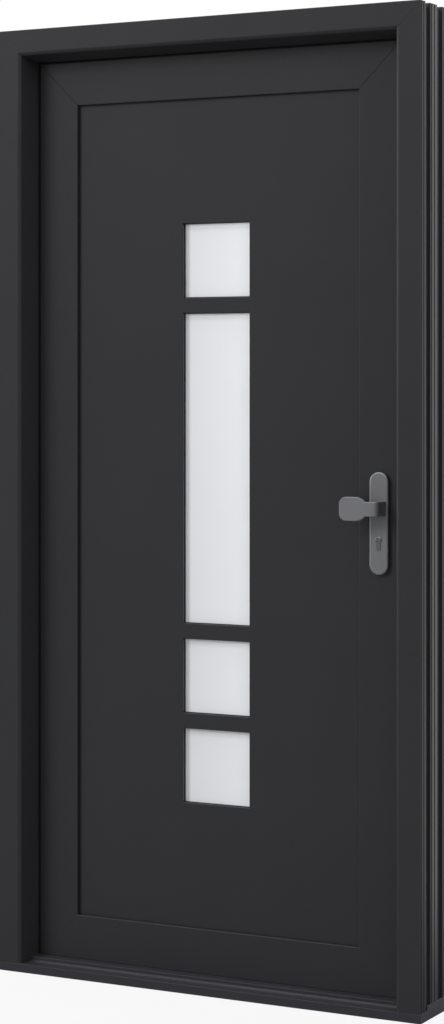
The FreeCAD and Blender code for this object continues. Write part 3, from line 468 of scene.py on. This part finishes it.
fins = soft([(31, LEAF_FOOT, 0.1), (31, 31.8, 0.5), (33, 31.8, 0.5), (33.4, 34.4, 0.4), (35, 34.4, 0.4),
             (35.2, 31.8, 0.5), (37, 31.8, 0.5), (37.4, 34.4, 0.4), (39, 34.4, 0.4), (39.2, 31.8, 0.5),
             (41, 31.8, 0.5), (41, LEAF_FOOT, 0.1)])
piece("bottom_sweep_fins", *slab(fins, 0, -472.5, 472.5, 0.2, 1), rubber, "leaf", "seal_rubber",
      ["bottom_sweep"])


# The leaf: four hollow PVC members, foiled like the frame, mitred and welded. A flange at the back laps
# over the frame, and the edge at the lock side is grooved for the lock strip.

leaf_outline = soft([
    (0, 65, 1), (15.99, 65, 0), (16.01, 65, 0), (112.5, 65, 1.8), (112.5, 71, 0.3), (92, 71, 0.1),
    (92, 148, 0.8), (16.01, 148, 0), (15.99, 148, 0), (-20, 148, 1.4), (-20, 133, 0.6), (0, 133, 0.3),
    (0, 112, 0.3), (3, 112, 0.2), (3, 96, 0.2), (0, 96, 0.3),
])
rail_outline = soft([(16, 65, 0.6), (112.5, 65, 1.8), (112.5, 71, 0.3), (92, 71, 0.1), (92, 148, 0.8),
                     (16, 148, 0.6)])
LEAF_SLIT = 0.3    # Half of the fine slit in the leaf's mitres


def hang(outline):
    """The foot of a stile: cut off level at the edge, and mitred from there onto the bottom rail."""
    reach = outline[:, 0]
    return np.maximum(LEAF_FOOT, LEAF_RING[1] + reach), reach > 16


piece("leaf_top_rail_profile", *bar(leaf_outline, LEAF_RING, "top", None, LEAF_SLIT), foil, "leaf",
      "pvc_profile", ["leaf_top_rail"])
piece("leaf_bottom_rail_profile", *bar(rail_outline, LEAF_RING, "bottom"), foil, "leaf", "pvc_profile",
      ["leaf_bottom_rail"])
piece("leaf_hinge_stile_profile", *bar(leaf_outline, LEAF_RING, "left", hang, LEAF_SLIT), foil, "leaf",
      "pvc_profile", ["leaf_hinge_stile"])
lock_stile = piece("leaf_lock_stile_profile", *bar(leaf_outline, LEAF_RING, "right", hang, LEAF_SLIT), foil,
                   "leaf", "pvc_profile", ["leaf_lock_stile"])
HANDLE_X, PULL_LEVEL, CYLINDER_LEVEL = 411, 1096.5, 1029    # Where the handles and the cylinder stand


def cylinder_outline(grow=0.0, steps=40):
    """A profile cylinder's outline: a circle of radius 8.5 mm over a tongue that ends in one of 5 mm."""
    big, small = 8.5 + grow, 5 + grow
    dip = math.acos(small / big)
    top = np.linspace(-dip, np.pi + dip, steps)
    foot = np.linspace(np.pi, 2 * np.pi, steps // 2)
    ring = np.concatenate([big * np.stack([np.cos(top), np.sin(top)], 1),
                           small * np.stack([np.cos(foot), np.sin(foot)], 1) - [0, 19.5]])
    return ring + [HANDLE_X, CYLINDER_LEVEL]


bored(lock_stile, [prism(cylinder_outline(0.3), 1, -20, 100)])


# The infill panel: two PVC skins on a foam core, flush, foiled like the frame. Four openings are routed
# through it for the glass, three square and one tall, their outer edges eased by the router.

SILLS = ((415, 584.5), (619, 788.5), (823, 1529), (1563.5, 1733))    # Foot and top of each opening
PANE_HALF = 84.75                                                    # Half of an opening's width


def pierced(depth, grow, outer_half, outer_low, outer_high):
    """A flat sheet with the four openings left out: the cells of a grid of 3 columns and 9 rows."""
    x = np.array([-outer_half, -PANE_HALF - grow, PANE_HALF + grow, outer_half])
    z = np.concatenate([[outer_low], np.ravel([[low - grow, high + grow] for low, high in SILLS]),
                        [outer_high]])
    points = np.stack(np.broadcast_arrays(x[None, :], float(depth - FRONT), z[:, None]), -1).reshape(-1, 3)
    cells = [[4 * row + column, 4 * row + column + 1, 4 * row + column + 5, 4 * row + column + 4]
             for row in range(9) for column in range(3) if column != 1 or row % 2 == 0]
    return points, cells


def wall(loops, half, low, high):
    """Four-sided faces between rectangles, each (growth, depth) beyond a given rectangle."""
    points, faces = around(np.array(loops, float), half, low, high)
    count = len(loops)
    return points, [side for side in faces if not (side[0] % count == count - 1)]


outer_wall = [(-0.6, 74), (-0.2, 74.2), (0, 74.6), (0, 117.4), (-0.2, 117.8), (-0.6, 118)]
reveal = [(1.5, 74), (0.6, 74.3), (0.15, 74.9), (0, 76), (0, 83), (10, 83), (10, 118)]
parts = [pierced(74, 1.5, 377.9, 115.1, 2032.9), pierced(118, 10, 377.9, 115.1, 2032.9),
         wall(outer_wall, 378.5, 114.5, 2033.5)]
parts += [wall(reveal, PANE_HALF, low, high) for low, high in SILLS]
panel = piece("infill_panel_skin", *joined(parts), foil, "leaf", "panel_skin", ["infill_panel"])
lacquer, tree, surface = blank("lacquered_routed_edge")
# Lacquer brushed over the upright routed walls: glossier than the foil, so they mirror the pale glass
surface.inputs["Base Color"].default_value = linear("#303033")
surface.inputs["Roughness"].default_value = 0.12
surface.inputs["IOR"].default_value = 1.9
panel.data.materials.append(lacquer)
for side in panel.data.polygons:
    if abs(side.normal.x) > 0.66 and abs(side.center.x) < 0.09:
        side.material_index = 1


# The glass: sealed double units. The outer pane is sandblasted on its inner side, so it glows white, with
# the dark spacer bar behind its rim. Painted shade greys it towards the rim, most at the left and top, a
# painted highlight lights its very left edge, and painted light lifts it a little from left to right. The
# inner pane is clear.

frost, tree, surface = blank("sandblasted_glass")
# Frosted float glass: a milky white body under a smooth outer face, its colour carrying painted shade and
# light
surface.inputs["Roughness"].default_value = 0.4
surface.inputs["IOR"].default_value = 1.5
shade = node(tree, "ShaderNodeAttribute", {"attribute_name": "milk_and_painted_light"})
tinted(tree, surface, shade.outputs["Fac"], "#000000", "#fdfdff")

clear, tree, surface = blank("clear_float_glass")
# Float glass: clear and faintly green, so that the frosting shows through it from the inside
surface.inputs["Base Color"].default_value = linear("#e3eeea")
surface.inputs["Roughness"].default_value = 0.02
surface.inputs["IOR"].default_value = 1.5
surface.inputs["Transmission Weight"].default_value = 1.0
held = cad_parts["inner_panes"].data.materials
for n in range(len(held)):
    held[n] = clear

bar_metal, tree, surface = blank("aluminium_spacer_bar")
# Rolled aluminium strip: satin, with a row of pinholes too fine to show, so only a broken gloss
surface.inputs["Base Color"].default_value = linear("#9a9b9e")
surface.inputs["Metallic"].default_value = 1.0
worn(tree, surface, noise(tree, 700.0, 2.0), 0.3, 0.5)


def sheet(x, z, near, far):
    """A flat sheet between two depths, its faces cut into a grid at the given widths and heights."""
    x, z = np.meshgrid(x, z)
    points = np.concatenate([np.stack([x, np.full_like(x, deep), z], -1).reshape(-1, 3)
                             for deep in (near, far)])
    grid = np.arange(x.size).reshape(x.shape)
    quads = np.stack([grid[:-1, :-1], grid[:-1, 1:], grid[1:, 1:], grid[1:, :-1]], -1).reshape(-1, 4)
    edge = np.concatenate([grid[0, :-1], grid[:-1, -1], grid[-1, :0:-1], grid[:0:-1, 0]])
    sides = np.stack([edge, np.roll(edge, -1), np.roll(edge, -1) + grid.size, edge + grid.size], -1)
    return points, quads.tolist() + (quads + grid.size).tolist() + sides.tolist()


def milk_with_painted_light(from_left, from_top):
    """How white the frosting glows, from 0 to 1, by the distances from the left and top in millimetres.

    Across, it rises from 0.8 to 0.96, painted light that lifts the right side; less a bell of 0.26 at 9 mm,
    the painted shadow of the opening's left wall; plus a painted highlight of 0.2 at the left edge; less
    0.06 of painted shade that fades in from the right edge. It is times 1 less a bell of 0.12 of painted
    shade at 11 mm from the top, the upper wall's painted shadow, and less 0.05 of painted shade that fades
    downwards.
    """
    to_right = 2 * PANE_HALF - from_left
    across = (0.8 + 0.16 * from_left / (2 * PANE_HALF) - 0.26 * np.exp(-((from_left - 9) / 3.6) ** 2)
              + 0.2 * np.exp(-(from_left / 3) ** 2) - 0.06 * np.exp(-np.abs(to_right) / 5))
    return across * (1 - 0.12 * np.exp(-((from_top - 11) / 5) ** 2) - 0.05 * np.exp(-from_top / 40))


GLASS_LAP = 9    # How far the glass and what holds it reach past an opening
lip = soft([(0.2, 81.4, 0.2), (0.2, 83.2, 0.1), (-1.8, 83.2, 0.1), (-1.6, 82.2, 0.3)])
trim_outline = soft([(GLASS_LAP, 111, 0.2), (GLASS_LAP, 118, 0.1), (17, 118, 0.3), (17, 121, 1.6),
                     (0, 121, 1.6), (0, 111, 0.3)])
spacer_outline = soft([(0, 87, 0.3), (GLASS_LAP, 87, 0.3), (GLASS_LAP, 107, 0.3), (0, 107, 0.3)])
for name, (low, high) in zip(("bottom", "middle", "tall", "top"), SILLS):
    # The grid is finer towards the left and the top, where the painted shade changes the white fast
    across = -PANE_HALF - GLASS_LAP + 2 * (PANE_HALF + GLASS_LAP) * np.linspace(0, 1, 60) ** 1.7
    fall = np.linspace(0, 1, 120 if name == "tall" else 60) ** 1.9
    pane = piece(f"pane_{name}_frosted",
                 *sheet(across, high + GLASS_LAP - (high - low + 2 * GLASS_LAP) * fall, 18, 22), frost,
                 "leaf", "frosted_glass", [f"pane_{name}"])
    spot = np.zeros(len(pane.data.vertices) * 3)
    pane.data.vertices.foreach_get("co", spot)
    spot = spot.reshape(-1, 3) * 1000
    # Each point's white, darkened by painted shade and lifted by a painted highlight, goes to the pane as an
    # attribute
    milk_and_painted_light = milk_with_painted_light(np.clip(spot[:, 0] + PANE_HALF, 0, None), np.clip(high - spot[:, 2], 0, None))
    pane.data.attributes.new("milk_and_painted_light", "FLOAT", "POINT").data.foreach_set("value", milk_and_painted_light)
    piece(f"pane_{name}_seal", *around(lip, PANE_HALF, low, high), rubber, "leaf", "seal_rubber")
    piece(f"window_trim_{name}_ring", *around(trim_outline, PANE_HALF, low, high), foil, "leaf",
          "pvc_profile", [f"window_trim_{name}"])
piece("glass_spacer_bars", *joined(around(spacer_outline, PANE_HALF, low, high) for low, high in SILLS),
      bar_metal, "leaf", "spacer_bar", ["glass_spacers"])


# The glazing beads: four clipped-in PVC strips that hold the panel from the inside, mitred at the corners.

bead_outline = soft([(0, 121, 0.3), (20, 121, 0.5), (20, 127, 2.0), (12, 148, 1.5), (0, 148, 0.6)])
for side in ("top", "bottom", "left", "right"):
    piece(f"bead_{side}_strip", *bar(bead_outline, SEAT_RING, side), foil, "leaf", "pvc_profile",
          [f"bead_{side}"])


# The handle sets: cast zinc, plated and brushed to a satin grey. Outside a long plate carries a fixed pull,
# whose flat strap bends off the plate and widens to a pad. Inside the same plate carries a lever.


def rounded(*parts):
    """A piece with round parts: shaded smooth, except across edges sharper than 32 degrees."""
    made = piece(*parts)
    made.data.shade_smooth()
    made.data.set_sharp_from_angle(angle=math.radians(32))
    made.modifiers.new("even_shade", "WEIGHTED_NORMAL").keep_sharp = True
    return made


satin, tree, surface = blank("satin_plated_zinc")
# Plated zinc brushed before a clear lacquer: a grey metal with a soft, slightly streaked gloss
surface.inputs["Base Color"].default_value = linear("#8c8c8f")
surface.inputs["Metallic"].default_value = 0.45
place = node(tree, "ShaderNodeTexCoord")
along = node(tree, "ShaderNodeMapping", {"Scale": (2200.0, 2200.0, 120.0)}, Vector=place.outputs["Object"])
brush = node(tree, "ShaderNodeTexNoise", {"Scale": 1.0, "Detail": 3.0}, Vector=along.outputs[0])
worn(tree, surface, brush.outputs[0], 0.3, 0.42, 0.06, 0.0001)


def stadium(across, low, high, radius, steps=48):
    """A slot-shaped outline: a circle cut level at its widest and pulled apart to two heights."""
    turn = (np.arange(steps) + 0.5) * 2 * np.pi / steps
    lift = np.where(np.sin(turn) > 0, high - radius, low + radius)
    return np.stack([across + radius * np.cos(turn), lift + radius * np.sin(turn)], 1)


plate = stadium(HANDLE_X, 952, 1176, 22)
# A hard bevel with rounded corners, as pairs of inset and distance from the plate's face
plate_rim = [(3.4, 0), (2.8, 0.06), (0.7, 0.98), (0.2, 1.4), (0, 2.2)]
for name, near, far in (("outside", -10, 0), ("inside", 83, 93)):
    backplate = rounded(f"{name}_backplate_long", *slab(plate, 1, near, far, 0, rim=plate_rim), satin,
                        "leaf", "handle_metal", [f"{name}_backplate"])
    bored(backplate, [prism(cylinder_outline(0.3), 1, near - 5, far + 5)])


def strap(path, away, half_thick, half_high, round_edge, steps=6):
    """A flat bar carried along a path: a rounded rectangle whose halves may differ along the way.

    Each point is path + away * thickness part + up * height part, where the parts are the half sizes
    less the radius, signed by the quarter they lie in, plus the radius times the turn round the section.
    """
    quarter = np.arange(4).repeat(steps + 1) * np.pi / 2 + np.tile(np.linspace(0, np.pi / 2, steps + 1), 4)
    thick_sign, high_sign = np.repeat([[1, -1, -1, 1], [1, 1, -1, -1]], steps + 1, axis=1)
    edge = np.minimum(round_edge, np.minimum(half_thick, half_high) * 0.98)[:, None]
    thick = thick_sign * (half_thick[:, None] - edge) + edge * np.cos(quarter)
    high = high_sign * (half_high[:, None] - edge) + edge * np.sin(quarter)
    points = np.zeros((len(path), len(quarter), 3))
    points[..., :2] = path[:, None] + away[:, None] * thick[..., None]
    points[..., 2] = PULL_LEVEL + high
    count = len(quarter)
    faces = strips(len(path), count)
    faces += [list(range(count)), list(range((len(path) - 1) * count, len(path) * count))]
    return points, faces


ROUND_TIP = 17    # The length of the pad's rounded corners


def cranked(stretches, foot, door):
    """A path whose heading turns evenly along each stretch of (length, degrees), moved to end at its foot.

    The path is the running sum of the heading's cosine and sine, the sine times +1 or -1 towards the
    door. Its steps start fine, for a round tip.
    """
    length, turn = np.array(stretches, float).T
    marks = np.concatenate([[0], np.cumsum(length)])
    gone = np.concatenate([ROUND_TIP * (1 - np.cos(np.linspace(0, np.pi / 2, 16))),
                           np.linspace(ROUND_TIP, marks[-1], 170)[1:]])
    heading = np.radians(np.interp(gone, marks, np.concatenate([[0], np.cumsum(turn)])))
    middle = (heading[1:] + heading[:-1]) / 2
    step = np.stack([np.cos(middle), door * np.sin(middle)], 1) * np.diff(gone)[:, None]
    path = np.concatenate([[[0, 0]], np.cumsum(step, 0)])
    return path + np.array(foot) - path[-1], np.stack([door * np.sin(heading), -np.cos(heading)], 1)


# The pad is flat, the neck leans back a little, and the rest turns to the plate
path, away = cranked([(66.5, 0), (13, 9), (11.7, 81), (27.2, 0)], (420.8, -10), 1)
x, off_plate = path[:, 0], np.abs(path[:, 1] + 10)
tip, pad_end, neck_half = x[0], x[0] + 37, 15.5
# The pad's half height: a quarter round of 17 mm at the tip, level to its end, and a quarter of an
# ellipse down from there. The neck joins it by a rounded maximum, (a + b + sqrt((a - b)^2 + 3^2)) / 2.
rise, drop = np.clip((tip + ROUND_TIP - x) / ROUND_TIP, 0, 0.999), np.clip((x - pad_end) / 25, 0, 1)
pad = 9.25 + 17 * np.sqrt(np.clip(1 - rise ** 2 - drop ** 2, 0, None))
half_high = np.where(x < pad_end, pad, 0.5 * (pad + neck_half + np.sqrt((pad - neck_half) ** 2 + 3.0 ** 2)))
# The leg flares over its last 20 mm, where it stands on the plate
flare = 3.6 * np.clip(1 - off_plate / 20, 0, 1) ** 2
half_thick = 2.25 + 2 * np.sqrt(1 - np.clip((tip + 2 - x) / 2, 0, 1) ** 2) + flare
rounded("outside_pull_strap", *strap(path, away, half_thick, half_high + flare * 0.2, 2.0), satin, "leaf",
        "handle_metal", ["outside_pull"])


def turned_part(profile, axis, centre, steps=48):
    """A profile of (radius, distance along the axis) turned about that axis, closed at both ends."""
    profile = np.array(profile, float)
    turn = np.arange(steps) * 2 * np.pi / steps
    others = [n for n in range(3) if n != axis]
    points = np.zeros((len(profile), steps, 3))
    points[..., others[0]] = profile[:, :1] * np.cos(turn)
    points[..., others[1]] = profile[:, :1] * np.sin(turn)
    points[..., axis] = profile[:, 1:]
    faces = strips(len(profile), steps)
    faces += [list(range(steps)), list(range((len(profile) - 1) * steps, len(profile) * steps))]
    return points + np.array(centre), faces


# The lever is an oval bar that thins over its last 8 mm, and turns into the plate through a collar
path, away = cranked([(108, 0), (16.5, 90), (34, 0)], (HANDLE_X, 93), -1)
x, off_plate = path[:, 0], np.abs(path[:, 1] - 93)
full = np.sqrt(1 - np.clip((x[0] + 8 - x) / 8, 0, 0.98) ** 2)
lever_high = 8 + 2 * np.clip(off_plate / 44, 0, 1) * full - 3 * (1 - full)
rounded("inside_lever_arm", *strap(path, away, 5.5 * (0.35 + 0.65 * full), lever_high, 5.0), satin, "leaf",
        "handle_metal", ["inside_lever"])
collar = [(12.2, 93), (13, 93.2), (13, 98.2), (12.6, 99.3), (11.6, 100), (6, 100)]
rounded("inside_lever_collar", *turned_part(collar, 1, (HANDLE_X, 0, PULL_LEVEL)), satin, "leaf",
        "handle_metal")


# The lock cylinder: a nickel-plated brass profile cylinder through the leaf, with a round plug and keyway
# at both ends.

nickel, tree, surface = blank("nickel_plated_brass")
# Dull nickel over turned brass: a neutral grey, broken by fine marks from the lathe
surface.inputs["Base Color"].default_value = linear("#bab9b9")
surface.inputs["Metallic"].default_value = 1.0
worn(tree, surface, noise(tree, 900.0, 2.0), 0.16, 0.3)

rounded("lock_cylinder_body", *slab(cylinder_outline(), 1, -11.2, 94.2, 0.5, 2), nickel, "leaf",
        "cylinder_metal", ["lock_cylinder"])
keyway = soft([(HANDLE_X + x, CYLINDER_LEVEL + z, 0.6) for x, z in (
    (-1.1, -4.5), (1.1, -4.5), (1.1, 4.5), (-1.1, 4.5))])
for name, face, way in (("outside", -12, 1), ("inside", 95, -1)):
    plug_profile = [(5.2, face), (5.9, face + 0.15 * way), (6.4, face + 0.5 * way), (6.6, face + way),
                    (6.6, face + 4 * way)]
    plug = rounded(f"{name}_cylinder_plug", *turned_part(plug_profile, 1, (HANDLE_X, 0, CYLINDER_LEVEL)),
                   nickel, "leaf", "cylinder_metal")
    bored(plug, [prism(keyway, 1, *sorted((face - 2 * way, face + 2.9 * way)))])


# The lock: a steel strip let into the leaf's edge, with its latch and dead bolt drawn back. The strike plate
# and the two hook keeps are screwed into the frame's groove across from it.

zinc, tree, surface = blank("zinc_plated_steel")
# Bright zinc on pressed steel: bluish grey, mottled by its crystals
surface.inputs["Metallic"].default_value = 1.0
place = node(tree, "ShaderNodeTexCoord")
mottle = node(tree, "ShaderNodeTexVoronoi", {"Scale": 240.0}, Vector=place.outputs["Object"])
tinted(tree, surface, mottle.outputs["Distance"], "#8d9094", "#a4a7ab")
worn(tree, surface, mottle.outputs["Distance"], 0.3, 0.44)


def screw(axis, centre, way, radius=4.0):
    """A raised countersunk screw head: a low dome of the given radius round a socket 1.75 mm deep."""
    foot = centre[axis]
    dome = [(radius * share, foot + way * (0.3 + 0.7 * math.sqrt(1 - share ** 2)))
            for share in (0.45, 0.7, 0.9, 1.0)]
    spot = [value if n != axis else 0 for n, value in enumerate(centre)]
    return turned_part([(radius * 0.36, foot - way * 0.9), (radius * 0.4, foot + way * 0.85), *dome,
                        (radius, foot - way * 0.5)], axis, spot, 24)


def round_box(low_a, high_a, low_b, high_b, radius):
    """A rectangle with its corners rounded."""
    return soft([(low_a, low_b, radius), (high_a, low_b, radius), (high_a, high_b, radius),
                 (low_a, high_b, radius)], 8)


rounded("lock_strip_plate", *slab(round_box(31, 47, 180, 1980, 7), 0, 469.5, 472, 0.3, 2), zinc, "leaf",
        "lock_steel", ["lock_strip"])
rounded("lock_strip_screws", *joined(screw(0, (471.6, 39, level), 1) for level in (
    192, 420, 680, 930, 980, 1160, 1420, 1700, 1968)), zinc, "leaf", "lock_steel")
nose = soft([(471.5, 33, 0.1), (474.5, 41, 0.6), (474.5, 45, 0.8), (471.5, 45, 0.1)])
rounded("latch_nose", *slab(nose, 2, 1079.5, 1113.5, 0.5, 2), zinc, "leaf", "lock_steel", ["latch_bolt"])
rounded("dead_bolt_end", *slab(round_box(33, 45, 1014, 1044, 1), 0, 471.5, 474.5, 0.8, 3), zinc, "leaf",
        "lock_steel", ["dead_bolt"])
for name, stood_for, levels, high in (("strike", "strike_plate", (1062.75,), 170),
                                      ("hook_keep", "hook_keeps", (420, 1780), 110)):
    plates = [slab(round_box(27, 47, level - high / 2, level + high / 2, 2.5), 0, 485, 490, 0.4, 2)
              for level in levels]
    keep = rounded(f"{name}_plate", *joined(plates), zinc, "frame", "lock_steel", [stood_for])
    bored(keep, [prism(round_box(31, 43, level - 30, level + 30, 2), 0, 480, 488.5) for level in levels])
    screws = [screw(0, (485.4, 37, level + sign * (high / 2 - 12)), -1)
              for level in levels for sign in (-1, 1)]
    rounded(f"{name}_screws", *joined(screws), zinc, "frame", "lock_steel")


# The hinges: three barrel hinges on the inside, cast and powder coated dark. A frame part with two knuckles
# and a leaf part with one turn on a pin, whose caps close the barrel at both ends.

HINGE_AXIS = (-495, 96, 0)


def knuckle(low, high, radius=10.0):
    """A closed barrel between two heights with rounded rims."""
    rim = [(radius - 2, 0), (radius - 0.6, 0), (radius - 0.15, 0.2), (radius, 0.7)]
    profile = [(size, low + off) for size, off in rim] + [(size, high - off) for size, off in rim[::-1]]
    return turned_part(profile, 2, HINGE_AXIS, 40)


HINGE_HALF, TURN_HALF = 48, 16    # Half the heights of a hinge and of its middle knuckle
arm = soft([(-508, 66, 0.1), (-498, 66, 0.1), (-496, 96, 0.1), (-503, 97, 2), (-508, 90, 3)])
web = soft([(-495, 86, 0.1), (-480, 86, 0.1), (-472, 87, 0.5), (-478, 91, 2.5), (-495, 93, 0.1)])
cap = [(6, -1), (6.5, 0), (6.5, 2.4), (6, 3.4), (4.8, 3.9), (3, 4)]
pin_caps = []
for name, level in (("low", 270), ("middle", 1107.5), ("top", 1945)):
    foot, head = level - HINGE_HALF, level + HINGE_HALF
    turn_foot, turn_head = level - TURN_HALF, level + TURN_HALF
    shells = [slab(round_box(-530, -498, foot, head, 5), 1, 65, 70, 1.2, 4)]
    for low, high in ((foot, turn_foot - 0.4), (turn_head + 0.4, head)):
        shells += [slab(arm, 2, low, high, 0.6, 3), knuckle(low, high)]
    rounded(f"hinge_frame_{name}_casting", *joined(shells), powder, "frame", "hinge_metal",
            [f"hinge_frame_{name}"])
    rounded(f"hinge_frame_{name}_screws", *joined(
        screw(1, (-519, 69.6, level + off), 1) for off in (-34, 0, 34)), zinc, "frame", "hinge_metal")
    shells = [slab(round_box(-483, -439, foot, head, 5), 1, 83, 88, 1.2, 4),
              slab(web, 2, turn_foot, turn_head, 0.6, 3), knuckle(turn_foot, turn_head)]
    rounded(f"hinge_leaf_{name}_casting", *joined(shells), powder, "leaf", "hinge_metal",
            [f"hinge_leaf_{name}"])
    rounded(f"hinge_leaf_{name}_screws", *joined(
        screw(1, (x, 87.6, level + off), 1)
        for x, off in ((-449, -36), (-449, 36), (-466, -26), (-466, 26))), zinc, "leaf", "hinge_metal")
    pin_caps += [turned_part([(size, end + way * off) for size, off in cap], 2, HINGE_AXIS, 40)
                 for end, way in ((head, 1), (foot, -1))]
rounded("hinge_pin_caps", *joined(pin_caps), powder, "frame", "hinge_metal", ["hinge_pins"])
